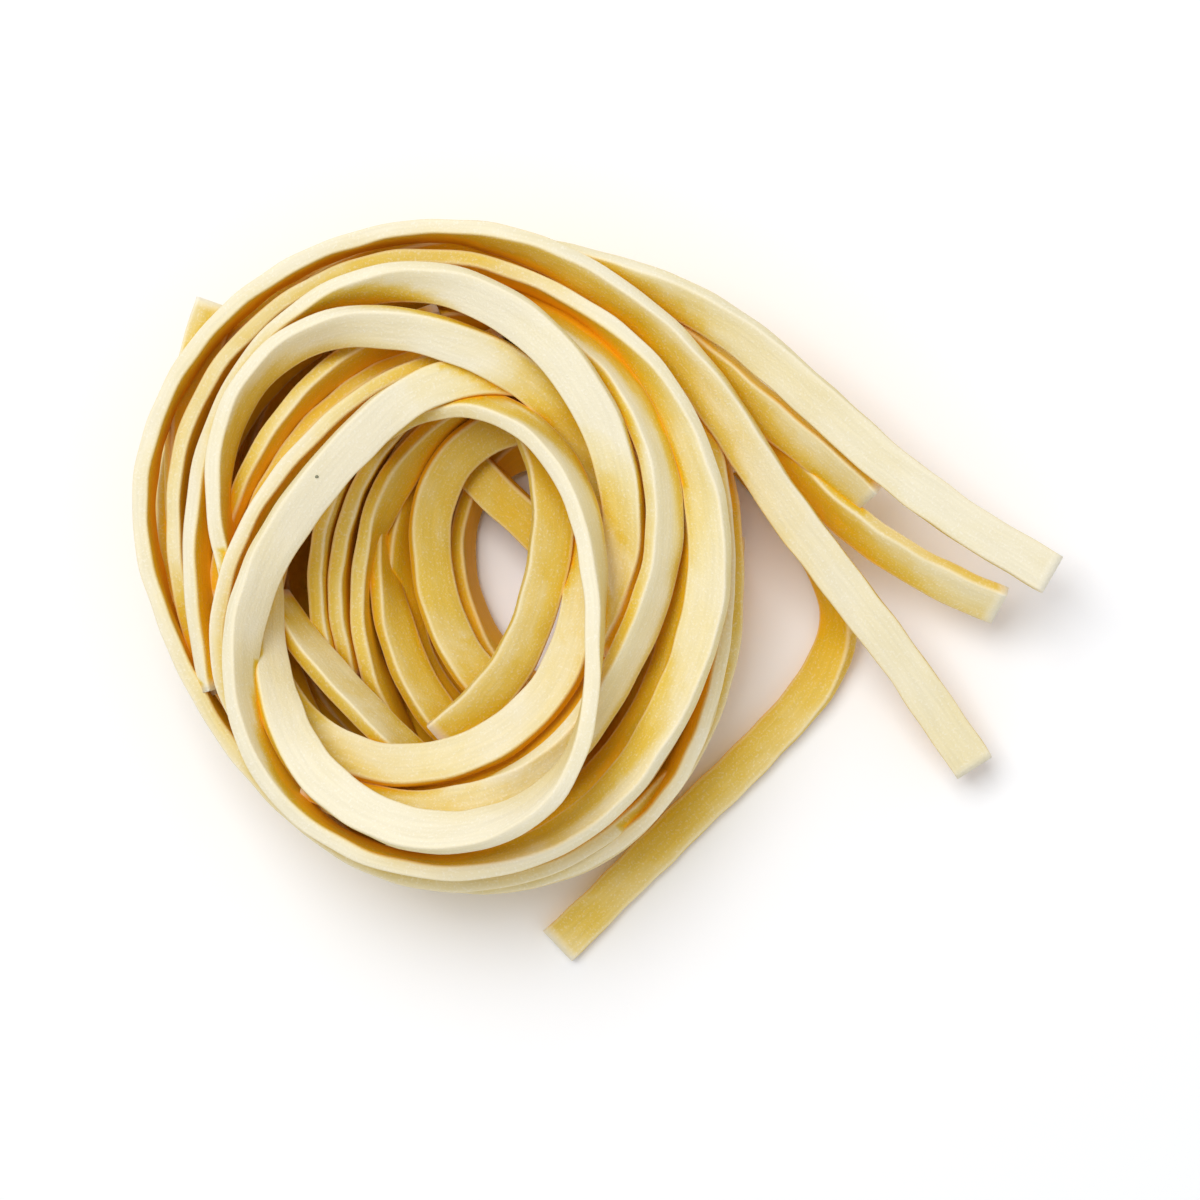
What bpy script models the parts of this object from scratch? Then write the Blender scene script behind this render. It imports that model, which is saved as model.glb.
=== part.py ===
"""Dry fettuccine nest: flat egg-pasta ribbons wound into a round nest with an open middle and loose ends.

The nest lies flat on z = 0 and +Y is its top as it is seen from above. Its loose ends leave it towards +X.
Lengths below are in millimetres and angles in degrees.
"""

from collections import namedtuple

import bmesh
import bpy
import numpy as np

MM = 0.001

# One ribbon of dry pasta
RIBBON_WIDTH = 5.0
RIBBON_THICKNESS = 2.0
SECTION_SPACING = 7.0
CURVE_STEPS = 12

# The outline of the nest from above, as a radius every 30 degrees, and the oval hole through its middle
OUTLINE = (35.8, 38.3, 39.6, 40.6, 40.5, 39.2, 37.0, 33.0, 35.6, 39.5, 40.5, 37.4)
HOLE_CENTRE = (7.8, 0.4)
HOLE_HALF_SIZE = (6.4, 12.5)

# The origin lies under the middle of the nest and its loose ends, this far from the middle of the ring
ORIGIN_FROM_RING = (18.7, -3.9, 0.0)

# A turn lies at radius[i] and height[i] at the bearing first + i * step round its centre. Its roll there is
# 0 where the ribbon lies flat, 90 where it stands on edge, and above 0 where the outer edge is the higher one.
# A loose end carries on from the last bearing through points of x, y, height and roll.
Turn = namedtuple("Turn", "centre first step radius height roll end", defaults=[()])
RING = (0.0, 0.0)
BOWL = (7.4, -0.8)

TURNS = {
    "outer_turn": Turn(
        RING, 380, -30,
        (32.6, 34.4, 37.2, 39.2, 38.0, 33.8, 32.6, 36.8, 38.8, 39.7, 39.6, 38.4, 38.6),
        (8, 10, 13, 14, 15, 16, 18, 19, 20, 20, 20, 19, 17),
        (80, 82, 84, 84, 84, 82, 86, 89, 90, 90, 86, 60, 18),
        ((46.2, -0.2, 14, 6), (55.8, -12.5, 10, 4), (64.0, -24.6, 6, 4)),
    ),
    "rim_turn": Turn(
        RING, 60, 30,
        (24.6, 21.2, 16.5, 15.9, 19.5, 26.6, 34.2, 37.2, 36.4,
         33.4, 33.3, 33.3, 34.3, 36.6, 36.6, 34.8, 31.4, 30.4),
        (19, 22, 25, 26, 25, 24, 22, 21, 20, 20, 21, 21, 20, 19, 19, 18, 17, 14),
        (8, 16, 26, 30, 34, 56, 76, 76, 46, 30, 30, 38, 68, 88, 90, 90, 84, 80),
    ),
    "crossing_turn": Turn(
        RING, -30, 30,
        (22.6, 23.3, 25.1, 28.9, 33.2, 33.6, 31.0, 28.7, 31.0),
        (17, 20, 24, 26, 25, 22, 20, 19, 17),
        (30, 34, 12, 14, 44, 70, 76, 62, 68),
    ),
    "flat_top_turn": Turn(
        RING, 0, 30,
        (24.2, 23.6, 24.4, 26.6, 31.3, 29.8, 24.6, 26.0),
        (15, 18, 21, 24, 24, 22, 20, 17),
        (20, 18, 16, 26, 56, 78, 80, 70),
    ),
    "rim_companion": Turn(
        RING, 60, 30,
        (27.0, 24.0, 21.0, 20.6, 24.4, 29.4, 31.4, 33.0),
        (15, 18, 21, 22, 21, 21, 18, 15),
        (66, 76, 84, 84, 82, 78, 74, 70),
    ),
    "front_turn": Turn(
        RING, 120, -30,
        (18.2, 20.4, 20.5, 19.7, 19.7, 22.5, 32.3, 33.2, 29.3, 23.6, 17.6),
        (17, 20, 23, 24, 25, 27, 28, 27, 24, 21, 18),
        (-36, -46, -54, -62, -74, -90, -112, -164, -172, -128, -116),
    ),
    "right_turn": Turn(
        RING, 240, 30,
        (31.2, 31.0, 28.8, 25.9, 27.9, 30.3, 32.4, 33.0),
        (18, 20, 21, 21, 22, 22, 20, 16),
        (60, 56, -50, -50, -52, -52, -50, -50),
    ),
    "under_rim_turn": Turn(
        RING, 260, 30,
        (34.6, 34.6, 32.0, 30.6, 30.6, 31.4),
        (16, 17, 17, 18, 17, 15),
        (44, 40, 38, 40, 48, 56),
    ),
    "slot_turn": Turn(
        RING, 240, 30,
        (31.0, 29.4, 26.4, 23.6, 24.6, 27.2, 29.0),
        (15, 18, 20, 18, 18, 18, 16),
        (60, 64, 64, 50, 46, 46, 46),
    ),
    "inner_front_turn": Turn(
        RING, 150, 30,
        (20.5, 22.8, 25.6, 26.8, 25.1, 22.8, 20.0, 17.6, 18.2),
        (13, 15, 17, 19, 20, 21, 20, 18, 16),
        (50, 44, 30, 20, 15, 15, 20, 30, 30),
    ),
    "inner_right_turn": Turn(
        RING, 270, 30,
        (21.5, 16.6, 14.2, 13.8, 17.0, 21.0),
        (15, 16, 17.5, 18, 17.5, 15),
        (-14, -18, -20, -22, -26, -30),
    ),
    "pocket_turn": Turn(
        RING, 90, 25,
        (29.5, 26.8, 24.8, 24.6, 27.0),
        (15, 18, 20, 19, 16),
        (64, 64, 64, 64, 64),
    ),
    "pocket_low_turn": Turn(
        RING, 95, 25,
        (26.0, 23.8, 22.4, 22.8, 25.0),
        (13, 16, 18, 17, 14),
        (70, 70, 70, 70, 70),
    ),
    "deep_wide_turn": Turn(
        BOWL, 60, 30,
        (20.0, 18.9, 16.1, 11.8, 10.0, 9.9, 11.8, 17.4, 21.5),
        (13, 13, 12, 10, 9, 10, 11, 12, 13),
        (24, 24, 24, 26, 28, 26, 22, 20, 20),
    ),
    "deep_narrow_turn": Turn(
        BOWL, 60, 30,
        (19.6, 16.4, 12.0, 8.2, 6.6, 6.6, 8.0, 13.2, 18.6),
        (7, 7, 6, 6, 5, 5, 6, 7, 7),
        (64, 70, 76, 80, 82, 80, 74, 66, 60),
    ),
    "deep_left_turn": Turn(
        BOWL, 90, 30,
        (23.0, 21.0, 17.8, 15.2, 15.6, 20.0, 24.3),
        (12, 11, 10, 9, 9, 10, 12),
        (50, 54, 56, 58, 56, 50, 44),
    ),
    "bowl_wall_turn": Turn(
        BOWL, 100, 30,
        (21.5, 18.8, 17.6, 18.4, 21.4, 25.6),
        (11, 11, 11, 11, 10, 8),
        (72, 78, 82, 80, 74, 66),
    ),
    "bowl_edge_turn": Turn(
        BOWL, 95, 30,
        (25.0, 21.8, 20.4, 20.8, 22.6),
        (13, 13, 13, 13, 10),
        (72, 78, 84, 82, 74),
    ),
    "bowl_brim_turn": Turn(
        BOWL, 90, 30,
        (28.5, 25.0, 23.0, 23.0, 23.6),
        (14, 14, 15, 14, 11),
        (72, 78, 84, 80, 72),
    ),
    "bright_end": Turn(
        RING, 150, -30,
        (36.0, 37.4, 38.0, 38.8),
        (12, 14, 16, 18),
        (76, 76, 72, 60),
        ((28.7, 31.7, 19, 46), (38.8, 24.8, 19, 26), (50.4, 13.8, 17, 8), (60.7, 5.6, 15, 2),
         (73.2, -1.8, 13, 0)),
    ),
    "under_end": Turn(
        RING, 120, -30,
        (34.0, 36.2, 37.4),
        (12, 13, 15),
        (66, 64, 60),
        ((26.4, 29.4, 16, 56), (34.6, 21.4, 15, 46), (42.6, 14.4, 14, 40), (51.2, 7.0, 12, 40)),
    ),
    "middle_end": Turn(
        RING, 75, -30,
        (33.0, 35.6),
        (10, 12),
        (60, 56),
        ((34.4, 19.4, 12, 50), (43.0, 11.0, 12, 46), (51.7, 2.8, 11, 44), (59.6, -2.2, 10, 42),
         (67.2, -5.2, 9, 42)),
    ),
    "nub_end": Turn(
        RING, 203, -24,
        (30.0, 34.0, 37.8, 43.2),
        (12, 13, 14, 15),
        (60, 60, 50, 36),
    ),
    "bowl_crossing_piece": Turn(
        BOWL, 186, 18,
        (29.0, 25.4, 23.6, 24.8, 28.4),
        (15, 17, 17.5, 17, 15),
        (52, 56, 58, 56, 52),
    ),
    "hole_crossing_piece": Turn(
        RING, 98, -28,
        (16.5, 11.6, 10.2, 13.0, 20.0),
        (8, 8.5, 9, 9, 8),
        (18, 18, 18, 18, 18),
    ),
    "low_end": Turn(
        RING, 70, -22,
        (33.0, 34.0, 37.0),
        (4, 3.6, 3.2),
        (74, 74, 74),
        ((43, 4, 3.2, 70), (49.2, -4, 3, 62), (47.6, -12, 2.4, 30), (38.6, -21.6, 1.6, 6),
         (27, -32.9, 1.4, 0), (13, -46.6, 1.4, 0)),
    ),
}

# The turns in the wall of the nest: how far each lies from the outline (0) to the hole (1), its height, how much it
# rises and falls on its way round, and its roll. Each starts further round than the one below it, stops just short
# of its start, and leans in and out a little.
WALL_SWEEP = 350.0
WALL_START_STEP = 140.0
WALL_SWAY_STEP = 70.0
WALL_LEAN = 6.0
WALL_TURNS = (
    (0.055, 3.0, 0.0, 80),
    (0.065, 9.4, 1.2, 76),
    (0.085, 13.6, 1.2, 74),
    (0.900, 3.0, 0.0, 64),
)

# The packed turns inside, as one body: its section from the outline (0) to the hole (1), with the height there
CORE_SECTION = (
    (0.13, 0.0), (0.11, 2.0), (0.11, 13.5), (0.17, 17.0), (0.36, 16.5),
    (0.55, 11.5), (0.75, 8.0), (0.93, 4.5), (0.92, 0.0),
)
CORE_BEARINGS = 36


def smooth_values(values, count):
    """count values along a smooth curve through the given ones (Catmull-Rom)."""
    known = np.asarray(values, float)
    padded = np.vstack([2 * known[0] - known[1], known, 2 * known[-1] - known[-2]])
    along = np.linspace(0, len(known) - 1, count)
    i = np.minimum(along.astype(int), len(known) - 2)
    t = (along - i)[:, None]
    a, b, c, d = (padded[i + k] for k in range(4))
    return b + 0.5 * t * (c - a + t * (2 * a - 5 * b + 4 * c - d + t * (3 * b - a - 3 * c + d)))


def evenly(stations, spacing):
    """The stations (x, y, height, roll) resampled at an even spacing along the ribbon."""
    lengths = np.linalg.norm(np.diff(stations[:, :3], axis=0), axis=1)
    along = np.concatenate([[0], np.cumsum(lengths)])
    at = np.linspace(0, along[-1], int(round(along[-1] / spacing)) + 1)
    return np.stack([np.interp(at, along, stations[:, k]) for k in range(4)], axis=1)


def laid(turn):
    """The stations of one turn and its loose end."""
    count = CURVE_STEPS * (len(turn.radius) - 1) + 1
    r, z, roll = smooth_values(np.stack([turn.radius, turn.height, turn.roll], axis=1), count).T
    bearing = np.radians(turn.first + turn.step * np.linspace(0, len(turn.radius) - 1, count))
    x = turn.centre[0] + r * np.cos(bearing)
    y = turn.centre[1] + r * np.sin(bearing)
    stations = np.stack([x, y, z, roll], axis=1)
    if turn.end:
        knots = np.vstack([stations[-1 - CURVE_STEPS], stations[-1], turn.end])
        beyond = smooth_values(knots, CURVE_STEPS * (len(knots) - 1) + 1)
        stations = np.vstack([stations, beyond[CURVE_STEPS + 1:]])
    return stations


def between(share, bearing):
    """Points at a share of the way from the outline of the nest (0) to its hole (1), at each bearing."""
    every = 360 / len(OUTLINE)
    wrapped = np.array(OUTLINE[-2:] + OUTLINE + OUTLINE[:3])[:, None]
    count = CURVE_STEPS * (len(wrapped) - 1) + 1
    known = np.linspace(-2 * every, 360 + 2 * every, count)
    r = np.interp(bearing % 360, known, smooth_values(wrapped, count)[:, 0])
    angle = np.radians(bearing)
    outer = np.stack([r * np.cos(angle), r * np.sin(angle)], axis=-1)
    round_hole = np.stack([HOLE_HALF_SIZE[0] * np.cos(angle), HOLE_HALF_SIZE[1] * np.sin(angle)], axis=-1)
    return outer + share * (round_hole + HOLE_CENTRE - outer)


def wall_stations(index, share, height, sway, roll):
    """The stations of one turn of the wall, which starts at a bearing of its own."""
    bearing = WALL_START_STEP * index + np.arange(0, WALL_SWEEP, 3)
    rise = np.sin(np.radians(bearing + WALL_SWAY_STEP * index))
    return np.column_stack([between(share, bearing), height + sway * rise, roll + WALL_LEAN * rise])


def shell(name, rings, closed):
    """A body skinned over rings of points, with its two end rings capped unless it closes on itself."""
    bm = bmesh.new()
    loops = [[bm.verts.new((point - ORIGIN_FROM_RING) * MM) for point in ring] for ring in rings]
    following = loops[1:] + loops[:1] if closed else loops[1:]
    for here, there in zip(loops, following):
        for k in range(len(here)):
            m = (k + 1) % len(here)
            bm.faces.new((here[k], here[m], there[m], there[k]))
    if not closed:
        bm.faces.new(loops[0])
        bm.faces.new(loops[-1])
    bmesh.ops.recalc_face_normals(bm, faces=bm.faces)
    bmesh.ops.triangulate(bm, faces=bm.faces)
    mesh = bpy.data.meshes.new(name)
    bm.to_mesh(mesh)
    bm.free()
    return bpy.data.objects.new(name, mesh)


def ribbon(name, stations, outward_sign):
    """A ribbon of pasta swept through its stations."""
    stations = evenly(stations, SECTION_SPACING)
    points = stations[:, :3]
    along = np.gradient(points, axis=0)
    along /= np.linalg.norm(along, axis=1, keepdims=True)
    outward = outward_sign * np.cross(along, (0, 0, 1))
    outward /= np.linalg.norm(outward, axis=1, keepdims=True)
    up = np.cross(outward, along)
    up *= np.sign(up[:, 2:])
    roll = np.radians(stations[:, 3:])
    across = (np.cos(roll) * outward + np.sin(roll) * up) * RIBBON_WIDTH / 2
    through = (np.cos(roll) * up - np.sin(roll) * outward) * RIBBON_THICKNESS / 2
    rings = np.stack([points + across + through, points - across + through,
                      points - across - through, points + across - through], axis=1)
    return shell(name, rings, closed=False)


def core():
    """The packed inside of the nest, flat underneath and hollowed like a bowl towards its hole."""
    bearings = np.arange(CORE_BEARINGS) * 360.0 / CORE_BEARINGS
    columns = [
        np.column_stack([between(share, bearings), np.full(CORE_BEARINGS, height)])
        for share, height in CORE_SECTION
    ]
    return shell("core", np.stack(columns, axis=1), closed=True)


def keep_outer_skin(mesh):
    """Fill the hollows that joining sealed inside the body, and drop any scrap that joined nothing."""
    bm = bmesh.new()
    bm.from_mesh(mesh)
    outermost = max(bm.verts, key=lambda vert: vert.co.x)
    reached = {outermost}
    front = [outermost]
    while front:
        vert = front.pop()
        for edge in vert.link_edges:
            neighbour = edge.other_vert(vert)
            if neighbour not in reached:
                reached.add(neighbour)
                front.append(neighbour)
    inner = [vert for vert in bm.verts if vert not in reached]
    bmesh.ops.delete(bm, geom=inner, context="VERTS")
    bmesh.ops.triangulate(bm, faces=bm.faces)
    bm.to_mesh(mesh)
    bm.free()


def pasta():
    """Dry egg pasta: matt, pale golden yellow."""
    material = bpy.data.materials.new("dry egg pasta")
    material.use_nodes = True
    shader = material.node_tree.nodes["Principled BSDF"]
    shader.inputs["Base Color"].default_value = (0.80, 0.60, 0.22, 1.0)
    shader.inputs["Roughness"].default_value = 0.6
    return material


for leftover in list(bpy.data.objects):
    bpy.data.objects.remove(leftover, do_unlink=True)

scene = bpy.context.scene
strands = bpy.data.collections.new("strands")
scene.collection.children.link(strands)
for turn_name, turn in TURNS.items():
    strands.objects.link(ribbon(turn_name, laid(turn), 1 if turn.step > 0 else -1))
for index, wall_turn in enumerate(WALL_TURNS):
    strands.objects.link(ribbon("wall_turn", wall_stations(index, *wall_turn), 1))

nest = core()
nest.name = "fettuccine_nest"
scene.collection.objects.link(nest)
joined = nest.modifiers.new("strands joined", "BOOLEAN")
joined.operation = "UNION"
joined.operand_type = "COLLECTION"
joined.collection = strands
joined.solver = "MANIFOLD"

whole = bpy.data.meshes.new_from_object(nest.evaluated_get(bpy.context.evaluated_depsgraph_get()))
nest.modifiers.clear()
nest.data = whole
for strand in list(strands.objects):
    bpy.data.objects.remove(strand, do_unlink=True)
bpy.data.collections.remove(strands)
keep_outer_skin(whole)
whole.materials.clear()
whole.materials.append(pasta())
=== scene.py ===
"""Dry fettuccine nest: the looks. Every ribbon is laid where it lies in the nest, pressed against its
neighbours, and made as a mesh of its real size. Lengths are in millimetres up to the mesh, which is in
metres, and angles are in degrees.
"""

from collections import namedtuple

import bmesh
import bpy
import numpy as np
from mathutils import Matrix, Vector
from mathutils.bvhtree import BVHTree


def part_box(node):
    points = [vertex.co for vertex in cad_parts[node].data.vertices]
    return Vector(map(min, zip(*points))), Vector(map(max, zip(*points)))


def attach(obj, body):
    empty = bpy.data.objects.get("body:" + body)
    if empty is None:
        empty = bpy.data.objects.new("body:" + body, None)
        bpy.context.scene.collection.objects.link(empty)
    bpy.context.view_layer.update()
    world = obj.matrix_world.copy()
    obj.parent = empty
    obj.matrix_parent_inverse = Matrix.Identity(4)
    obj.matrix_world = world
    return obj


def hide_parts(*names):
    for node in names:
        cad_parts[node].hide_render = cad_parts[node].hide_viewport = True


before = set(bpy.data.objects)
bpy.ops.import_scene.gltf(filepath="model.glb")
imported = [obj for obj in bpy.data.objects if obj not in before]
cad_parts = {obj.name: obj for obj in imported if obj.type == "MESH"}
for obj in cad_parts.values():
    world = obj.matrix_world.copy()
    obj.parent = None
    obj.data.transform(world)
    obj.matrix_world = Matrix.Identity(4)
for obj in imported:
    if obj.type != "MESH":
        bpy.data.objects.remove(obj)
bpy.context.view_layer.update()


# The ribbon. Fettuccine is a sheet of egg dough rolled thin and cut into long flat ribbons, which are
# wound round the fingers or a fork into a nest and dried. A ribbon here is a row of stations down its
# middle line, each of x, y, height and roll, with x and y from the middle of the ring of turns. Roll is 0
# where it lies flat, 90 where it stands on edge, and above 0 where its outer edge is the higher one.

STATION_SPACING = 2.0
CURVE_STEPS = 24

Turn = namedtuple("Turn", "centre first step radius height roll end", defaults=[()])


def smooth_values(values, count):
    """count values along a smooth curve through the given ones (Catmull-Rom)."""
    known = np.asarray(values, float)
    padded = np.vstack([2 * known[0] - known[1], known, 2 * known[-1] - known[-2]])
    along = np.linspace(0, len(known) - 1, count)
    i = np.minimum(along.astype(int), len(known) - 2)
    t = (along - i)[:, None]
    a, b, c, d = (padded[i + k] for k in range(4))
    return b + 0.5 * t * (c - a + t * (2 * a - 5 * b + 4 * c - d + t * (3 * b - a - 3 * c + d)))


def evenly(stations, spacing):
    """The stations resampled at an even spacing along the ribbon."""
    lengths = np.linalg.norm(np.diff(stations[:, :3], axis=0), axis=1)
    along = np.concatenate([[0], np.cumsum(lengths)])
    at = np.linspace(0, along[-1], int(round(along[-1] / spacing)) + 1)
    return np.stack([np.interp(at, along, column) for column in stations.T], axis=1)


def laid(turn):
    """The stations of one turn and its loose end."""
    count = CURVE_STEPS * (len(turn.radius) - 1) + 1
    r, z, roll = smooth_values(np.stack([turn.radius, turn.height, turn.roll], axis=1), count).T
    bearing = np.radians(turn.first + turn.step * np.linspace(0, len(turn.radius) - 1, count))
    x = turn.centre[0] + r * np.cos(bearing)
    y = turn.centre[1] + r * np.sin(bearing)
    stations = np.stack([x, y, z, roll], axis=1)
    if turn.end:
        knots = np.vstack([stations[-1 - CURVE_STEPS], stations[-1], turn.end])
        beyond = smooth_values(knots, CURVE_STEPS * (len(knots) - 1) + 1)
        stations = np.vstack([stations, beyond[CURVE_STEPS + 1:]])
    return eased(evenly(stations, STATION_SPACING))


def eased(stations, passes=8):
    """The stations with their kinks smoothed out: a ribbon is too springy to bend sharply."""
    for _ in range(passes):
        inner = 0.5 * stations[1:-1] + 0.25 * (stations[:-2] + stations[2:])
        stations = np.vstack([stations[:1], inner, stations[-1:]])
    return stations


# The turns that show. Each lies at radius[i] and height[i] at the bearing first + i * step round its
# centre, and a loose end carries on from the last bearing through points of x, y, height and roll.
# They follow nearly the same lines as the ribbons of the solid. RING and BOWL are the centres they use.

RING = (0.0, 0.0)
BOWL = (7.4, -0.8)

TURNS = {
    "outer_turn": Turn(
        RING, 380, -30,
        (32.6, 34.4, 37.2, 39.2, 38.0, 33.8, 32.6, 36.8, 38.8, 39.7, 39.6, 38.4, 38.6),
        (8, 10, 13, 14, 15, 16, 18, 19, 20, 20, 20, 19, 17),
        (80, 82, 84, 84, 84, 82, 86, 89, 90, 90, 86, 60, 18),
        ((46.2, -0.2, 14, 6), (55.8, -12.5, 10, 4), (64.0, -24.6, 6, 4)),
    ),
    "rim_turn": Turn(
        RING, 60, 30,
        (24.6, 21.2, 16.5, 15.9, 19.5, 26.6, 34.2, 37.2, 36.4,
         33.4, 33.3, 33.3, 34.3, 36.6, 36.6, 34.8, 31.4, 30.4),
        (19, 22, 25, 26, 25, 24, 22, 21, 20, 20, 21, 21, 20, 19, 19, 18, 17, 14),
        (8, 16, 26, 30, 34, 56, 76, 76, 46, 30, 30, 38, 68, 88, 90, 90, 84, 80),
    ),
    "crossing_turn": Turn(
        RING, -30, 30,
        (22.6, 23.3, 25.1, 28.9, 33.2, 33.6, 31.0, 28.7, 31.0),
        (17, 20, 24, 26, 25, 22, 20, 19, 17),
        (30, 34, 12, 14, 44, 70, 76, 62, 68),
    ),
    "flat_top_turn": Turn(
        RING, 0, 30,
        (24.2, 23.6, 24.4, 26.6, 31.3, 29.8, 24.6, 26.0),
        (15, 18, 21, 24, 24, 22, 20, 17),
        (20, 18, 16, 26, 56, 78, 80, 70),
    ),
    "rim_companion": Turn(
        RING, 60, 30,
        (27.0, 24.0, 21.0, 20.6, 24.4, 29.4, 31.4, 33.0),
        (15, 18, 21, 22, 21, 21, 18, 15),
        (66, 76, 84, 84, 82, 78, 74, 70),
    ),
    "front_turn": Turn(
        RING, 120, -30,
        (18.2, 20.4, 20.5, 19.7, 19.7, 22.5, 32.3, 33.2, 29.3, 23.8, 21.0),
        (17, 20, 23, 24, 25, 27, 28, 27, 24, 21, 18),
        (-36, -46, -54, -62, -74, -90, -112, -164, -172, -128, -116),
    ),
    "right_turn": Turn(
        RING, 240, 30,
        (31.2, 31.0, 28.8, 25.9, 27.9, 30.3, 32.4, 33.0),
        (18, 20, 21, 21, 22, 22, 20, 16),
        (60, 56, -50, -50, -52, -52, -50, -50),
    ),
    "under_rim_turn": Turn(
        RING, 260, 30,
        (34.6, 34.6, 32.0, 30.6, 30.6, 31.4),
        (16, 17, 17, 18, 17, 15),
        (44, 40, 38, 40, 48, 56),
    ),
    "slot_turn": Turn(
        RING, 240, 30,
        (31.0, 29.4, 26.4, 23.6, 24.6, 27.2, 29.0),
        (15, 18, 20, 18, 18, 18, 16),
        (60, 64, 64, 50, 46, 46, 46),
    ),
    "inner_front_turn": Turn(
        RING, 150, 30,
        (20.5, 22.8, 25.6, 26.8, 25.1, 22.8, 20.0, 17.6, 18.2),
        (13, 15, 17, 19, 20, 21, 20, 18, 16),
        (50, 44, 30, 20, 15, 15, 20, 30, 30),
    ),
    "inner_right_turn": Turn(
        RING, 270, 30,
        (21.5, 16.6, 14.2, 13.8, 17.0, 21.0),
        (15, 16, 17.5, 18, 17.5, 15),
        (-14, -18, -20, -22, -26, -30),
    ),
    "pocket_turn": Turn(
        RING, 90, 25,
        (29.5, 26.8, 24.8, 24.6, 27.0),
        (15, 18, 20, 19, 16),
        (64, 64, 64, 64, 64),
    ),
    "pocket_low_turn": Turn(
        RING, 95, 25,
        (26.0, 23.8, 22.4, 22.8, 25.0),
        (13, 16, 18, 17, 14),
        (70, 70, 70, 70, 70),
    ),
    "deep_wide_turn": Turn(
        BOWL, 60, 30,
        (20.0, 18.9, 16.1, 11.8, 10.0, 9.9, 11.8, 17.4, 21.5),
        (13, 13, 12, 10, 9, 10, 11, 12, 13),
        (24, 24, 24, 26, 28, 26, 22, 20, 20),
    ),
    "deep_narrow_turn": Turn(
        BOWL, 60, 30,
        (19.6, 16.4, 12.0, 8.2, 6.6, 6.6, 8.0, 13.2, 18.6),
        (7, 7, 6, 6, 5, 5, 6, 7, 7),
        (64, 70, 76, 80, 82, 80, 74, 66, 60),
    ),
    "deep_left_turn": Turn(
        BOWL, 90, 30,
        (23.0, 21.0, 17.8, 15.2, 15.6, 20.0, 24.3),
        (12, 11, 10, 9, 9, 10, 12),
        (50, 54, 56, 58, 56, 50, 44),
    ),
    "bowl_wall_turn": Turn(
        BOWL, 100, 30,
        (21.5, 18.8, 17.6, 18.4, 21.4, 25.6),
        (11, 11, 11, 11, 10, 8),
        (72, 78, 82, 80, 74, 66),
    ),
    "bowl_edge_turn": Turn(
        BOWL, 95, 30,
        (25.0, 21.8, 20.4, 20.8, 22.6),
        (13, 13, 13, 13, 10),
        (72, 78, 84, 82, 74),
    ),
    "bowl_brim_turn": Turn(
        BOWL, 90, 30,
        (28.5, 25.0, 23.0, 23.0, 23.6),
        (14, 14, 15, 14, 11),
        (72, 78, 84, 80, 72),
    ),
    "bright_end": Turn(
        RING, 150, -30,
        (36.0, 37.4, 38.0, 38.8),
        (12, 14, 16, 18),
        (76, 76, 72, 60),
        ((28.7, 31.7, 19, 46), (38.8, 24.8, 19, 26), (50.4, 13.8, 17, 8), (60.7, 5.6, 15, 2),
         (73.2, -1.8, 13, 0)),
    ),
    "under_end": Turn(
        RING, 120, -30,
        (34.0, 36.2, 37.4),
        (12, 13, 15),
        (66, 64, 60),
        ((26.4, 29.4, 16, 56), (34.6, 21.4, 15, 46), (42.6, 14.4, 14, 40), (51.2, 7.0, 12, 40)),
    ),
    "middle_end": Turn(
        RING, 75, -30,
        (33.0, 35.6),
        (10, 12),
        (60, 56),
        ((34.4, 19.4, 12, 50), (43.0, 11.0, 12, 46), (51.7, 2.8, 11, 44), (59.6, -2.2, 10, 42),
         (67.2, -5.2, 9, 42)),
    ),
    "nub_end": Turn(
        RING, 203, -24,
        (28.0, 31.4, 35.0, 41.6),
        (12, 13, 15, 16),
        (60, 58, 44, 24),
    ),
    "bowl_crossing_piece": Turn(
        BOWL, 186, 18,
        (29.0, 25.4, 23.6, 24.8, 28.4),
        (15, 17, 17.5, 17, 15),
        (52, 56, 58, 56, 52),
    ),
    "hole_crossing_piece": Turn(
        RING, 98, -28,
        (16.5, 11.6, 10.2, 13.0, 20.0),
        (8, 8.5, 9, 9, 8),
        (18, 18, 18, 18, 18),
    ),
    "low_end": Turn(
        RING, 70, -22,
        (33.0, 34.0, 37.0),
        (4, 3.6, 3.2),
        (74, 74, 74),
        ((43, 4, 3.2, 70), (49.2, -4, 3, 62), (47.6, -12, 2.4, 30), (38.6, -21.6, 1.6, 6),
         (27, -32.9, 1.4, 0), (13, -46.6, 1.4, 0)),
    ),
}


# The buried turns. The wound ribbon goes round three or four times under the turns that show, and makes
# the wall and the floor of the bowl. It stands mostly on edge, drifts between the outline of the nest and
# the hole in its middle, and crosses itself as it goes, because nobody winds it evenly.

OUTLINE = (35.8, 38.3, 39.6, 40.6, 40.5, 39.2, 37.0, 33.0, 35.6, 39.5, 40.5, 37.4)
HOLE_CENTRE = (7.8, 0.4)
HOLE_HALF_SIZE = (6.4, 12.5)

# Each coil: its turns, its first bearing, how far its middle lies from the outline (0) to the hole (1),
# how far it drifts to either side, its height and its roll
Coil = namedtuple("Coil", "turns start share drift height roll")
COILS = (
    Coil(1.0, 20, 0.055, 0.00, 3, 80),
    Coil(1.9, 95, 0.30, 0.14, 3, 62),
    Coil(1.8, 230, 0.72, 0.13, 3, 50),
    Coil(1.0, 210, 0.060, 0.02, 9, 76),
    Coil(1.9, 330, 0.26, 0.13, 9, 60),
    Coil(2.0, 290, 0.66, 0.13, 7, 52),
    Coil(1.0, 100, 0.080, 0.02, 13, 74),
    Coil(1.35, 300, 0.30, 0.12, 14, 60),
)

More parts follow.
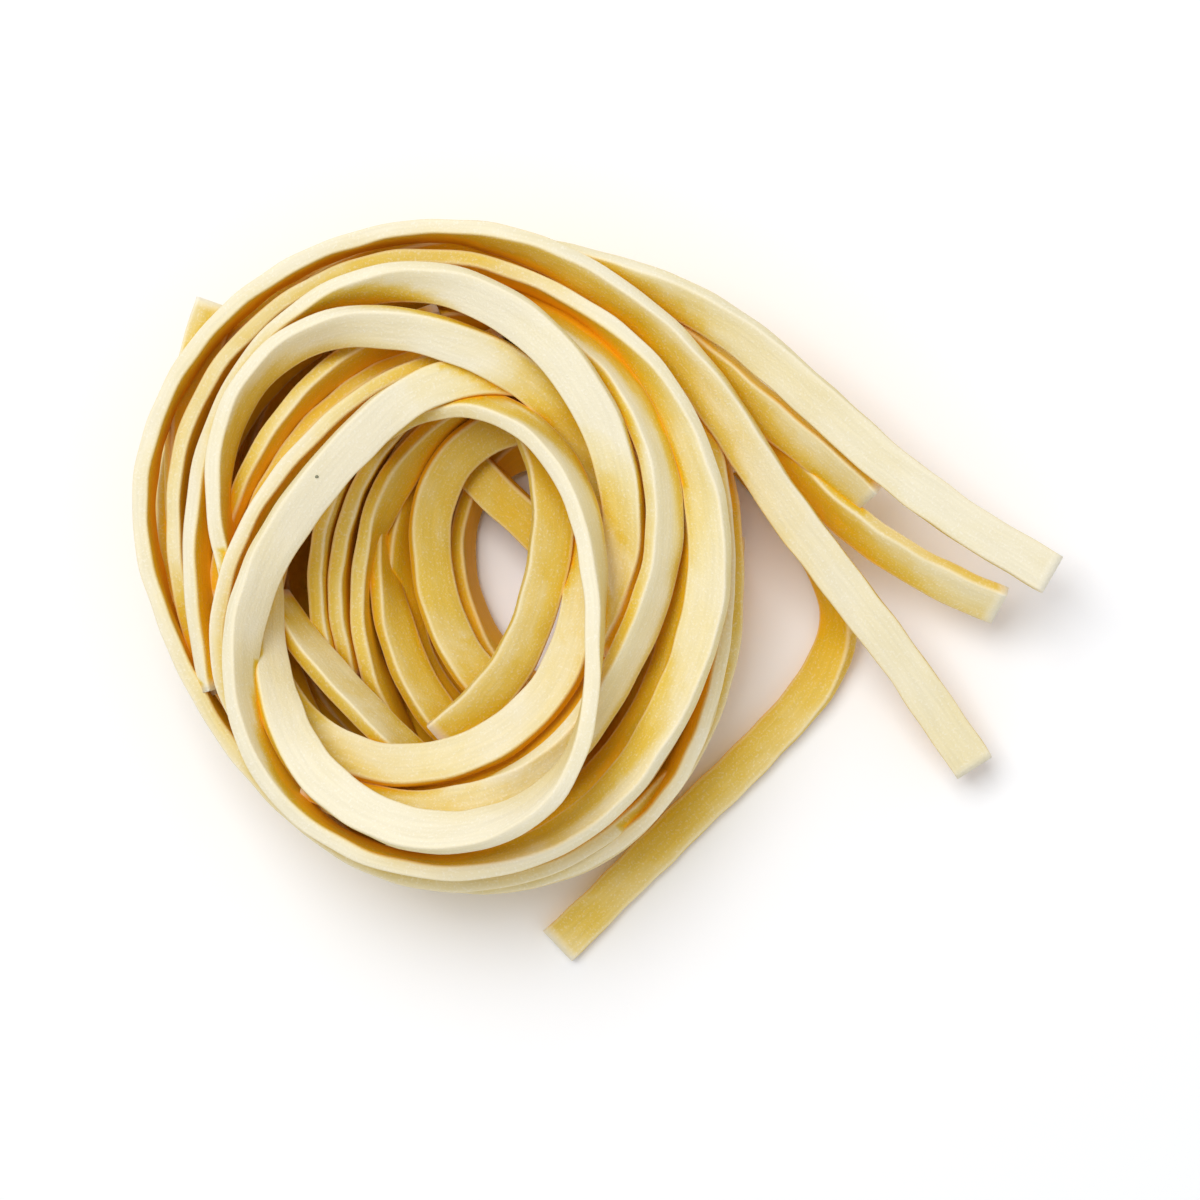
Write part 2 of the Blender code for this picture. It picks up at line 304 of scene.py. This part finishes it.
# A coil climbs and sways as it goes round, and stops some degrees short, so that its two ends stay apart
COIL_STEPS = 200
END_GAP = 14
DRIFT_WAVES = 1.37
HEIGHT_SWAY = 1.2
HEIGHT_PHASE = 0.02
CLIMB_PER_TURN = 1.5
ROLL_SWAY = 9
ROLL_WAVES = 1.6


def between(share, bearing):
    """Points at a share of the way from the outline of the nest (0) to its hole (1), at each bearing."""
    every = 360 / len(OUTLINE)
    wrapped = np.array(OUTLINE[-2:] + OUTLINE + OUTLINE[:3])[:, None]
    count = CURVE_STEPS * (len(wrapped) - 1) + 1
    known = np.linspace(-2 * every, 360 + 2 * every, count)
    r = np.interp(bearing % 360, known, smooth_values(wrapped, count)[:, 0])
    angle = np.radians(bearing)
    outer = np.stack([r * np.cos(angle), r * np.sin(angle)], axis=-1)
    wide, long = HOLE_HALF_SIZE
    round_hole = np.stack([wide * np.cos(angle), long * np.sin(angle)], axis=-1)
    return outer + share[:, None] * (round_hole + HOLE_CENTRE - outer)


def coiled(coil):
    """The stations of one coil of buried ribbon."""
    bearing = coil.start + np.linspace(0, 360 * coil.turns - END_GAP, COIL_STEPS)
    angle = np.radians(bearing - coil.start)
    share = coil.share + coil.drift * np.sin(angle / coil.turns * DRIFT_WAVES + coil.start)
    sway = HEIGHT_SWAY * np.sin(angle + HEIGHT_PHASE * coil.start)
    height = coil.height + sway + CLIMB_PER_TURN * angle / (2 * np.pi)
    roll = coil.roll + ROLL_SWAY * np.sin(ROLL_WAVES * angle + coil.start)
    return evenly(np.column_stack([between(share, bearing), height, roll]), STATION_SPACING)


# Pressed together. Wet ribbons sink under their own weight until they rest on each other, and dry like
# that. Each station is a row of three beads across the ribbon's width. Beads that overlap are moved
# apart, all of them sink a little each round, and the ribbon's stiffness spreads each move along it. It
# keeps close to the line and the roll that it was laid with.

BEAD_OFFSETS = np.array([-1.6, 0.0, 1.6])
BEAD_RADIUS = 1.0
TOUCHING_REACH = 7.6
NEIGHBOURS = 8
MOVE_SPREAD = 2
ROLL_SPREAD = 3

# The nest starts loosened, LIFT times as high, and closes over LOOSE_SHARE of the rounds
LIFT = 1.8
LOOSE_SHARE = 0.6
ROUNDS = 260
LAST_ROUNDS = 20
PAIRS_EVERY = 10

# How far each round moves a station down, and back to its line and its roll
SINK = 0.03
SIDEWAYS_PULL = 0.04
HEIGHT_PULL = 0.012
LOOSE_HEIGHT_PULL = 0.1
ROLL_PULL = 0.03


class Pressing:
    """All the ribbons of the nest as one set of stations."""

    def __init__(self, ribbons, outward_signs):
        counts = [len(stations) for stations in ribbons]
        self.starts = np.cumsum([0] + counts)
        laid_stations = np.vstack(ribbons)
        self.strand = np.repeat(np.arange(len(ribbons)), counts)
        self.outward_sign = np.repeat(outward_signs, counts)[:, None]
        index = np.arange(len(self.strand))
        self.before = np.maximum(index - 1, self.starts[self.strand])
        self.after = np.minimum(index + 1, self.starts[self.strand + 1] - 1)
        self.line = laid_stations[:, :3].copy()
        self.place = self.line * (1, 1, LIFT)
        self.roll = np.radians(laid_stations[:, 3])
        self.laid_roll = self.roll.copy()

    def cross_axes(self):
        """Across each ribbon's width, and the direction in which its outer edge moves as it rolls."""
        along = self.place[self.after] - self.place[self.before]
        along /= np.linalg.norm(along, axis=1, keepdims=True)
        outward = self.outward_sign * np.cross(along, (0, 0, 1))
        outward /= np.linalg.norm(outward, axis=1, keepdims=True)
        up = np.cross(outward, along)
        up *= np.sign(up[:, 2:])
        cos, sin = np.cos(self.roll)[:, None], np.sin(self.roll)[:, None]
        return cos * outward + sin * up, cos * up - sin * outward

    def near_pairs(self):
        """Pairs of stations whose ribbons may touch."""
        firsts, seconds = [], []
        for i in range(len(self.place) - 1):
            rest = self.place[i + 1:] - self.place[i]
            near = np.nonzero(np.einsum("ij,ij->i", rest, rest) < TOUCHING_REACH**2)[0] + i + 1
            near = near[(self.strand[near] != self.strand[i]) | (near - i > NEIGHBOURS)]
            firsts.append(np.full(len(near), i))
            seconds.append(near)
        return np.concatenate(firsts), np.concatenate(seconds)

    def spread(self, values, passes):
        """Values evened out along each ribbon."""
        for _ in range(passes):
            values = 0.5 * values + 0.25 * (values[self.before] + values[self.after])
        return values

    def part(self, pairs):
        """Move overlapping beads half their overlap apart each."""
        count = len(self.place)
        across, rolling = self.cross_axes()
        i, j = pairs
        pushes = np.zeros((3, count, 3))
        touching = np.zeros((3, count))
        for a, offset_a in enumerate(BEAD_OFFSETS):
            for b, offset_b in enumerate(BEAD_OFFSETS):
                gap = self.place[i] + offset_a * across[i] - self.place[j] - offset_b * across[j]
                distance = np.linalg.norm(gap, axis=1)
                near = np.nonzero(distance < 2 * BEAD_RADIUS)[0]
                share = (2 * BEAD_RADIUS - distance[near]) / (2 * distance[near] + 1e-6)
                push = gap[near] * share[:, None]
                for k in range(3):
                    pushes[a, :, k] += np.bincount(i[near], push[:, k], count)
                    pushes[b, :, k] -= np.bincount(j[near], push[:, k], count)
                touching[a] += np.bincount(i[near], minlength=count)
                touching[b] += np.bincount(j[near], minlength=count)
        pushes /= np.maximum(touching, 1)[:, :, None]
        for k, offset in enumerate(BEAD_OFFSETS):
            below = BEAD_RADIUS - (self.place[:, 2] + offset * across[:, 2])
            pushes[k, :, 2] += np.maximum(below, 0)
        pushed_beads = (np.abs(pushes).sum(axis=2) > 0).sum(axis=0)
        move = pushes.sum(axis=0) / np.maximum(pushed_beads, 1)[:, None]
        turn = np.einsum("knd,nd,k->n", pushes, rolling, BEAD_OFFSETS) / np.sum(BEAD_OFFSETS**2)
        self.place += self.spread(move, MOVE_SPREAD)
        self.roll += self.spread(turn[:, None], ROLL_SPREAD)[:, 0]

    def settle(self):
        """Lower the loosened ribbons, in which none touch, onto the lines they were laid along."""
        for round_number in range(ROUNDS):
            if round_number % PAIRS_EVERY == 0:
                pairs = self.near_pairs()
            loose = max(0.0, 1 - round_number / (LOOSE_SHARE * ROUNDS))
            line = self.line * (1, 1, 1 + loose * (LIFT - 1))
            pull = (SIDEWAYS_PULL, SIDEWAYS_PULL, HEIGHT_PULL + LOOSE_HEIGHT_PULL * loose)
            self.place += pull * (line - self.place)
            self.place[:, 2] -= SINK
            self.place = line + self.spread(self.place - line, MOVE_SPREAD)
            self.roll += ROLL_PULL * (self.laid_roll - self.roll)
            self.part(pairs)
        for _ in range(LAST_ROUNDS):
            self.part(pairs)

    def pressed(self):
        """The stations of every ribbon, one array for each."""
        stations = np.column_stack([self.place, self.roll])
        return [stations[a:b] for a, b in zip(self.starts, self.starts[1:])]


# Cut and dried. Each ribbon is swept through its pressed stations: its section is drawn, its edges are
# rounded as a blade and drying leave them, and it is extruded from station to station. Width and
# thickness vary a little, because the dough was rolled by hand, and the two ends are square cuts.

MM = 0.001
# The origin of the model, from the middle of the ring of turns
ORIGIN_FROM_RING = (18.7, -3.9, 0.0)
RIBBON_WIDTH = 5.0
RIBBON_THICKNESS = 1.9
EDGE_ROUNDING = 0.30
SECTION_STEP = 1.1
EASING = 12
random = np.random.default_rng(5)

# Slow changes along a ribbon: of its roll in radians, of its width and thickness as shares of them, and
# of its place sideways, in waves of these lengths
ROLL_WAVER = 0.04
WIDTH_WAVER = 0.025
THICKNESS_WAVER = 0.05
SIDE_WAVER = 0.06
SHORTEST_WAVES = (5, 11, 23)
LONGEST_WAVES = (9, 17, 40)

# Each ribbon's pattern starts somewhere else along this length, so that no two look the same
PATTERN_LENGTH = 4000


def section_outline():
    """The corners of a ribbon's section, as across and through, with rounded edges."""
    bm = bmesh.new()
    bmesh.ops.create_grid(bm, x_segments=1, y_segments=1, size=0.5)
    bmesh.ops.scale(bm, vec=(RIBBON_WIDTH, RIBBON_THICKNESS, 1), verts=bm.verts)
    bmesh.ops.bevel(bm, geom=bm.verts, offset=EDGE_ROUNDING, segments=3, profile=0.5,
                    affect="VERTICES", material=-1)
    long_sides = [edge for edge in bm.edges if edge.calc_length() > RIBBON_WIDTH / 2]
    bmesh.ops.subdivide_edges(bm, edges=long_sides, cuts=3)
    bmesh.ops.dissolve_faces(bm, faces=bm.faces)
    bm.faces.ensure_lookup_table()
    outline = [(vert.co.x, vert.co.y) for vert in bm.faces[0].verts]
    bm.free()
    return np.array(outline)


SECTION = section_outline()


def waver(along, reach):
    """A slow irregular change along a ribbon, of about reach either way."""
    phases = random.uniform(0, 2 * np.pi, 3)
    lengths = random.uniform(SHORTEST_WAVES, LONGEST_WAVES)
    waves = [np.sin(2 * np.pi * along / length + phase) for length, phase in zip(lengths, phases)]
    return reach * sum(waves) / 2


def swept(stations, outward_sign):
    """A bmesh of one ribbon, with each point's place in the ribbon kept for its material."""
    fine = len(stations) * 2
    stations = evenly(smooth_values(eased(stations, EASING), fine), SECTION_STEP)
    points, roll = stations[:, :3], stations[:, 3:]
    distance = np.arange(len(points)) * SECTION_STEP
    tangent = np.gradient(points, axis=0)
    tangent /= np.linalg.norm(tangent, axis=1, keepdims=True)
    outward = outward_sign * np.cross(tangent, (0, 0, 1))
    outward /= np.linalg.norm(outward, axis=1, keepdims=True)
    up = np.cross(outward, tangent)
    up *= np.sign(up[:, 2:])
    roll = roll + waver(distance, ROLL_WAVER)[:, None]
    across = np.cos(roll) * outward + np.sin(roll) * up
    through = np.cos(roll) * up - np.sin(roll) * outward
    width = 1 + waver(distance, WIDTH_WAVER)
    thickness = 1 + waver(distance, THICKNESS_WAVER)
    centre = points - ORIGIN_FROM_RING + across * waver(distance, SIDE_WAVER)[:, None]

    bm = bmesh.new()
    place_in_ribbon = bm.verts.layers.float_vector.new("place in ribbon")
    from_cut_end = bm.verts.layers.float.new("from cut end")
    verts = [bm.verts.new((x, y, 0)) for x, y in SECTION]
    end_face = bm.faces.new(verts)
    start_along = random.uniform(0, PATTERN_LENGTH)
    for k in range(len(points)):
        if k:
            # The first face closes the ribbon's start, and each later one would be a wall inside it
            last_face = end_face
            grown = bmesh.ops.extrude_face_region(bm, geom=[end_face])["geom"]
            end_face = next(item for item in grown if isinstance(item, bmesh.types.BMFace))
            if k > 1:
                bm.faces.remove(last_face)
        wide = np.outer(SECTION[:, 0] * width[k], across[k])
        thick = np.outer(SECTION[:, 1] * thickness[k], through[k])
        ring = centre[k] + wide + thick
        ring[:, 2] = np.maximum(ring[:, 2], 0)
        for vert, corner, (side, face) in zip(end_face.verts, ring, SECTION):
            vert.co = corner * MM
            vert[place_in_ribbon] = (start_along + distance[k], side, face)
            vert[from_cut_end] = min(distance[k], distance[-1] - distance[k])
    bmesh.ops.recalc_face_normals(bm, faces=bm.faces)
    for face in bm.faces:
        face.smooth = len(face.verts) == 4
        face.material_index = 0 if len(face.verts) == 4 else 1
    return bm


def made(name, parts, materials):
    """One piece of the model from several ribbons, each given as its stations and its outward side."""
    whole = bmesh.new()
    for stations, outward_sign in parts:
        bm = swept(stations, outward_sign)
        one = bpy.data.meshes.new(name)
        bm.to_mesh(one)
        bm.free()
        whole.from_mesh(one)
        bpy.data.meshes.remove(one)
    mesh = bpy.data.meshes.new(name)
    whole.to_mesh(mesh)
    whole.free()
    for material in materials:
        mesh.materials.append(material)
    piece = bpy.data.objects.new(name, mesh)
    bpy.context.scene.collection.objects.link(piece)
    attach(piece, "root")
    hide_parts("fettuccine_nest")
    return piece


# Dry egg pasta: semolina and egg, rolled, cut and dried. Its surface is matt and slightly rough, with the
# grain of the rolling along the ribbon. Its colour carries painted shade: faces that lie open are pale,
# and the sheltered ones between the ribbons are painted a shaded gold. A little flour shows on open faces.

def from_hex(code):
    """A colour written as sRGB hex, as linear values."""
    channels = [int(code[k:k + 2], 16) / 255 for k in (1, 3, 5)]
    return [c / 12.92 if c <= 0.04045 else ((c + 0.055) / 1.055) ** 2.4 for c in channels] + [1.0]


def add(tree, kind, settings=None, sockets=None):
    """A node with its settings, and with each socket given a value or linked to another node's output."""
    node = tree.nodes.new(kind)
    for name, value in (settings or {}).items():
        setattr(node, name, value)
    for key, value in (sockets or {}).items():
        if isinstance(value, bpy.types.NodeSocket):
            tree.links.new(value, node.inputs[key])
        else:
            node.inputs[key].default_value = value
    return node


MOTTLING = 0.30
SHADE_PLACES = (0.17, 0.40, 0.61)
FULLY_OPEN = 0.85


def pasta_material(name, painted_shades, flour):
    """Matt pasta: its painted shades, from the most sheltered face to the most open one, and its share of
    flour.
    """
    material = bpy.data.materials.new(name)
    material.use_nodes = True
    tree = material.node_tree
    shader = tree.nodes["Principled BSDF"]
    place = add(tree, "ShaderNodeAttribute", {"attribute_name": "place in ribbon"}).outputs["Vector"]
    shade_openness = add(tree, "ShaderNodeAttribute", {"attribute_name": "sky openness for painted shade"}).outputs["Fac"]

    # Mottling: the dough dries unevenly, in patches about 9 mm long and 4 mm across
    patch_place = add(tree, "ShaderNodeVectorMath", {"operation": "MULTIPLY"},
                      {0: place, 1: (1 / 9, 1 / 4, 1 / 4)})
    patches = add(tree, "ShaderNodeTexNoise", {},
                  {"Vector": patch_place.outputs[0], "Scale": 1.0, "Detail": 2.0})
    # Rolling grain: fine streaks along the ribbon, 0.35 mm across and 6 mm long
    grain_place = add(tree, "ShaderNodeVectorMath", {"operation": "MULTIPLY"},
                      {0: place, 1: (1 / 6, 1 / 0.35, 1 / 0.35)})
    grain = add(tree, "ShaderNodeTexNoise", {},
                {"Vector": grain_place.outputs[0], "Scale": 1.0, "Detail": 1.0})
    # Semolina: grains of about 0.3 mm, which stand out a little from the dough
    semolina = add(tree, "ShaderNodeTexNoise", {},
                   {"Vector": place, "Scale": 1 / 0.3, "Detail": 1.0, "Roughness": 0.6})

    # Painted shade: the open share, less the mottling, picks the colour from the sheltered gold to the
    # pale open face
    mottled_shade = add(tree, "ShaderNodeMath", {"operation": "MULTIPLY_ADD", "use_clamp": True},
                  {0: patches.outputs["Fac"], 1: -MOTTLING, 2: shade_openness})
    colour = add(tree, "ShaderNodeValToRGB", {}, {"Fac": mottled_shade.outputs[0]})
    ramp = colour.color_ramp.elements
    ramp[0].color, ramp[1].color = from_hex(painted_shades[0]), from_hex(painted_shades[-1])
    for share, shade in zip(SHADE_PLACES, painted_shades[1:-1]):
        ramp.new(share).color = from_hex(shade)
    ramp[-1].position = FULLY_OPEN
    streak = add(tree, "ShaderNodeMapRange", {},
                 {"Value": grain.outputs["Fac"], "From Min": 0.3, "From Max": 0.7,
                  "To Min": 0.965, "To Max": 1.03})
    streaked = add(tree, "ShaderNodeVectorMath", {"operation": "SCALE"},
                   {0: colour.outputs["Color"], "Scale": streak.outputs[0]})
    # Edges: a painted highlight, paler for about 0.4 mm along the rounded edges, where the light catches
    # them
    sides = add(tree, "ShaderNodeSeparateXYZ", {}, {"Vector": place})
    side = add(tree, "ShaderNodeMath", {"operation": "ABSOLUTE"}, {0: sides.outputs["Y"]})
    face = add(tree, "ShaderNodeMath", {"operation": "ABSOLUTE"}, {0: sides.outputs["Z"]})
    outwards = add(tree, "ShaderNodeMath", {"operation": "ADD"},
                   {0: side.outputs[0], 1: face.outputs[0]})
    edge = add(tree, "ShaderNodeMapRange", {},
               {"Value": outwards.outputs[0], "From Min": 2.95, "From Max": 3.25, "To Max": 0.38})
    edge_highlighted = add(tree, "ShaderNodeMix", {"data_type": "RGBA"},
                {"Factor": edge.outputs[0], "A": streaked.outputs[0], "B": from_hex("#F6E8C2")})
    # Flour: a thin dusting of paler grains, weighted by the open share, so it is real flour and also
    # painted light on the open faces
    grains = add(tree, "ShaderNodeMapRange", {},
                 {"Value": semolina.outputs["Fac"], "From Min": 0.55, "From Max": 0.75, "To Max": flour})
    dust = add(tree, "ShaderNodeMath", {"operation": "MULTIPLY"}, {0: grains.outputs[0], 1: shade_openness})
    floured = add(tree, "ShaderNodeMix", {"data_type": "RGBA"},
                  {"Factor": dust.outputs[0], "A": edge_highlighted.outputs["Result"], "B": from_hex("#FBF5E4")})
    # Ends: the blade bruised the dough there, and it dried chalky for 1 to 2 mm
    from_end = add(tree, "ShaderNodeAttribute", {"attribute_name": "from cut end"}).outputs["Fac"]
    uneven = add(tree, "ShaderNodeMath", {"operation": "MULTIPLY_ADD"},
                 {0: patches.outputs["Fac"], 1: -1.6, 2: from_end})
    bruise = add(tree, "ShaderNodeMapRange", {},
                 {"Value": uneven.outputs[0], "From Min": -0.8, "From Max": 0.6,
                  "To Min": 0.7, "To Max": 0.0})
    chalky = add(tree, "ShaderNodeMix", {"data_type": "RGBA"},
                 {"Factor": bruise.outputs[0], "A": floured.outputs["Result"], "B": from_hex("#FBF7EA")})
    # Specks: flecks of bran about 0.25 mm across, one every few centimetres
    cells = add(tree, "ShaderNodeTexVoronoi", {}, {"Vector": place, "Scale": 1 / 3.0})
    rare = add(tree, "ShaderNodeMath", {"operation": "GREATER_THAN"},
               {0: cells.outputs["Color"], 1: 0.93})
    near = add(tree, "ShaderNodeMapRange", {},
               {"Value": cells.outputs["Distance"], "From Min": 0.05, "From Max": 0.09,
                "To Min": 0.75, "To Max": 0.0})
    speck = add(tree, "ShaderNodeMath", {"operation": "MULTIPLY"},
                {0: rare.outputs[0], 1: near.outputs[0]})
    specked = add(tree, "ShaderNodeMix", {"data_type": "RGBA"},
                  {"Factor": speck.outputs[0], "A": chalky.outputs["Result"], "B": from_hex("#8C7A5C")})
    bump = add(tree, "ShaderNodeBump", {},
               {"Height": semolina.outputs["Fac"], "Strength": 0.4, "Distance": 0.12 * MM})
    tree.links.new(specked.outputs["Result"], shader.inputs["Base Color"])
    tree.links.new(bump.outputs["Normal"], shader.inputs["Normal"])
    shader.inputs["Roughness"].default_value = 0.62
    shader.inputs["IOR"].default_value = 1.45
    shader.inputs["Specular IOR Level"].default_value = 0.35
    return material


dried_face = pasta_material("dry egg pasta, floured, with painted shade",
                            ("#F4B80A", "#DFB51C", "#E2C456", "#EADAA2", "#EFE6C9"), flour=0.5)
cut_end = pasta_material("dry egg pasta, cut across, with painted shade",
                         ("#DDB040", "#E4C262", "#EBD592", "#EEDFB0", "#F0E8CC"), flour=0.6)


# The nest put together: all its ribbons are laid and pressed as one, and then swept. Those that show from
# above are one piece, and the buried ones another.

ribbons = [laid(turn) for turn in TURNS.values()] + [coiled(coil) for coil in COILS]
signs = [1 if turn.step > 0 else -1 for turn in TURNS.values()] + [1] * len(COILS)
pressing = Pressing(ribbons, signs)
pressing.settle()
parts = list(zip(pressing.pressed(), signs))
pieces = [
    made("upper_turns", parts[:len(TURNS)], (dried_face, cut_end)),
    made("buried_turns", parts[len(TURNS):], (dried_face, cut_end)),
]


# Open to the sky: how much light falls on each point from above and from the sides, past the ribbons
# round it. The material paints this in as shade: open faces pale, and the walls between ribbons a clear
# gold. The low ribbons are painted in more shade than those on top. A face counts as fully open from
# OPEN_ENOUGH of all the light there is.

OPEN_ENOUGH = 0.97
LOW_SHADE_SHARE = 0.72
TOP_HEIGHT = 13 * MM
OFF_THE_FACE = 0.1 * MM
RAY_REACH = 30 * MM
HORIZON_RISE = 12


def sky_rays(overhead=18, sideways=18):
    """Directions spread over the sky by how much light comes from there, and some above the horizon."""
    k = np.arange(overhead)
    turned = k * np.pi * (3 - np.sqrt(5))
    level = np.sqrt((k + 0.5) / overhead)
    above = np.column_stack([level * np.cos(turned), level * np.sin(turned), np.sqrt(1 - level**2)])
    bearing = np.arange(sideways) * 2 * np.pi / sideways
    low = np.radians(HORIZON_RISE)
    beside = np.column_stack([np.cos(low) * np.cos(bearing), np.cos(low) * np.sin(bearing),
                              np.full(sideways, np.sin(low))])
    return [Vector(ray) for ray in np.vstack([above, beside])]


def all_faces(pieces):
    """The points and faces of all the pieces together."""
    points, faces = [], []
    for piece in pieces:
        faces += [[index + len(points) for index in face.vertices] for face in piece.data.polygons]
        points += [vert.co.copy() for vert in piece.data.vertices]
    return points, faces


def note_painted_shade_openness(pieces):
    """Keep each point's open share as an attribute, from 0, shut in, to 1, for the material to paint as
    shade.
    """
    tree = BVHTree.FromPolygons(*all_faces(pieces))
    sky = sky_rays()
    most = OPEN_ENOUGH * sum(ray.z for ray in sky)
    for piece in pieces:
        mesh = piece.data
        shares = []
        for vert in mesh.vertices:
            start = vert.co + OFF_THE_FACE * vert.normal
            facing = [(vert.normal.dot(ray), ray) for ray in sky]
            seen = sum(lean for lean, ray in facing
                       if lean > 0 and tree.ray_cast(start, ray, RAY_REACH)[0] is None)
            # Painted shade: low points get a smaller open share, so they are painted a deeper gold
            height_shade = min(1.0, LOW_SHADE_SHARE + (1 - LOW_SHADE_SHARE) * vert.co.z / TOP_HEIGHT)
            shares.append(height_shade * min(1.0, seen / most))
        mesh.attributes.new("sky openness for painted shade", "FLOAT", "POINT").data.foreach_set("value", shares)


note_painted_shade_openness(pieces)


# One grey-green fleck, a crumb of dried herb 0.5 mm across, lies on the rim turn near the left of the
# bowl, where it fell.

FLECK_RADIUS = 0.22
FLECK_SHAPE = (1.2, 0.9, 0.5)
DROP_HEIGHT = 60


def fleck(x, y):
    """Drop the crumb onto whatever ribbon lies below x, y."""
    start = Vector((x, y, DROP_HEIGHT)) * MM
    landed = BVHTree.FromPolygons(*all_faces(pieces)).ray_cast(start, (0, 0, -1))[0]
    bm = bmesh.new()
    bmesh.ops.create_icosphere(bm, subdivisions=2, radius=FLECK_RADIUS * MM)
    bmesh.ops.scale(bm, vec=FLECK_SHAPE, verts=bm.verts)
    bmesh.ops.translate(bm, vec=landed, verts=bm.verts)
    mesh = bpy.data.meshes.new("herb_fleck")
    bm.to_mesh(mesh)
    bm.free()
    mesh.shade_smooth()
    material = bpy.data.materials.new("dried herb crumb")
    material.use_nodes = True
    tree = material.node_tree
    shader = tree.nodes["Principled BSDF"]
    # Torn leaf, dried: a mottled grey green, in patches of about 0.15 mm
    place = add(tree, "ShaderNodeTexCoord").outputs["Object"]
    mottling = add(tree, "ShaderNodeTexNoise", {}, {"Vector": place, "Scale": 1 / (0.15 * MM)})
    green = add(tree, "ShaderNodeValToRGB", {}, {"Fac": mottling.outputs["Fac"]})
    green.color_ramp.elements[0].color = from_hex("#6E7053")
    green.color_ramp.elements[1].color = from_hex("#9A9B84")
    tree.links.new(green.outputs["Color"], shader.inputs["Base Color"])
    shader.inputs["Roughness"].default_value = 0.9
    mesh.materials.append(material)
    piece = bpy.data.objects.new("herb_fleck", mesh)
    bpy.context.scene.collection.objects.link(piece)
    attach(piece, "root")
    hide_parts("fettuccine_nest")


fleck(-31.9, 13.1)


# The table: a plain white surface under soft light from all round, and a window-like light from the upper
# left.

TABLE_HALF_SIZE = 3.0
UNDER_THE_NEST = 0.02 * MM


def table_top():
    """The table, just clear of the underside of the nest."""
    bm = bmesh.new()
    bmesh.ops.create_grid(bm, x_segments=1, y_segments=1, size=TABLE_HALF_SIZE)
    mesh = bpy.data.meshes.new("table")
    bm.to_mesh(mesh)
    bm.free()
    material = bpy.data.materials.new("white laminate, matt")
    material.use_nodes = True
    shader = material.node_tree.nodes["Principled BSDF"]
    shader.inputs["Base Color"].default_value = from_hex("#F9FAFC")
    shader.inputs["Roughness"].default_value = 0.7
    mesh.materials.append(material)
    floor = bpy.data.objects.new("table", mesh)
    floor.location.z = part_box("fettuccine_nest")[0][2] - UNDER_THE_NEST
    bpy.context.scene.collection.objects.link(floor)


table_top()

world = bpy.data.worlds.new("soft room light")
world.use_nodes = True
world.node_tree.nodes["Background"].inputs["Color"].default_value = from_hex("#FAFBFE")
world.node_tree.nodes["Background"].inputs["Strength"].default_value = 0.55
bpy.context.scene.world = world
bpy.context.scene.view_settings.view_transform = "Standard"


def soft_light(name, place, size, watts, colour):
    """A square soft light at a place in metres, turned to the middle of the nest."""
    light = bpy.data.lights.new(name, "AREA")
    light.size = size
    light.energy = watts
    light.color = from_hex(colour)[:3]
    lamp = bpy.data.objects.new(name, light)
    lamp.location = place
    lamp.rotation_euler = (Vector((0, 0, 0.01)) - Vector(place)).to_track_quat("-Z", "Y").to_euler()
    bpy.context.scene.collection.objects.link(lamp)


soft_light("window", (-0.22, 0.30, 0.85), 0.60, 5.5, "#FFFEFC")
soft_light("white card", (0.55, -0.45, 0.45), 0.60, 0.7, "#FFFFFF")

# The camera looks down on the pile from above its middle, and turns to the nest.
CAMERA_PLACE = Vector((31.3, -26.1, 400.0)) * MM
LOOKED_AT = Vector((1.0, -1.2, 20.0)) * MM
camera_data = bpy.data.cameras.new("camera")
camera_data.lens = 97.0
camera_data.sensor_width = 36
camera = bpy.data.objects.new("camera", camera_data)
looking = (LOOKED_AT - CAMERA_PLACE).normalized()
rightward = looking.cross((0, 1, 0)).normalized()
camera.location = CAMERA_PLACE
camera.rotation_euler = Matrix((rightward, rightward.cross(looking), -looking)).transposed().to_euler()
bpy.context.scene.collection.objects.link(camera)
bpy.context.scene.camera = camera
